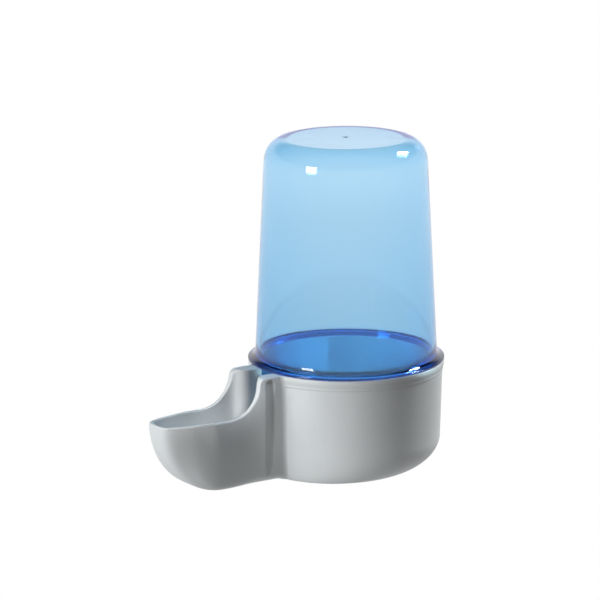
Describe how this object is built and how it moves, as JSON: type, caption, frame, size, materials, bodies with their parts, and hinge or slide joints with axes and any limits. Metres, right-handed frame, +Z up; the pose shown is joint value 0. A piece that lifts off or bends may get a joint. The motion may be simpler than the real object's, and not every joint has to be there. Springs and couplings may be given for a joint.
{
  "type": "poultry waterer fount",
  "caption": "Small siphon drinker: a clear blue inverted tank stands in a round grey base with a boat-shaped drinking trough, and lifts straight off for filling.",
  "frame": {"origin": "on the axis of the drum and tank, at the flat bottom of the base", "axes": "+Z up along the tank axis, the drinking trough points towards -Y, X across"},
  "size_m": [0.0782, 0.1286, 0.1326],
  "materials": {
    "base_plastic": "opaque grey moulded plastic, semi-gloss",
    "tank_plastic": "transparent blue moulded plastic, glossy"
  },
  "bodies": {
    "base": {"base": "base_plastic"},
    "tank": {"tank": "tank_plastic"}
  },
  "joints": [
    {"name": "tank_lift", "type": "slide", "parent": "base", "child": "tank", "axis": [0, 0, 1], "range_m": [0, 0.045]}
  ]
}
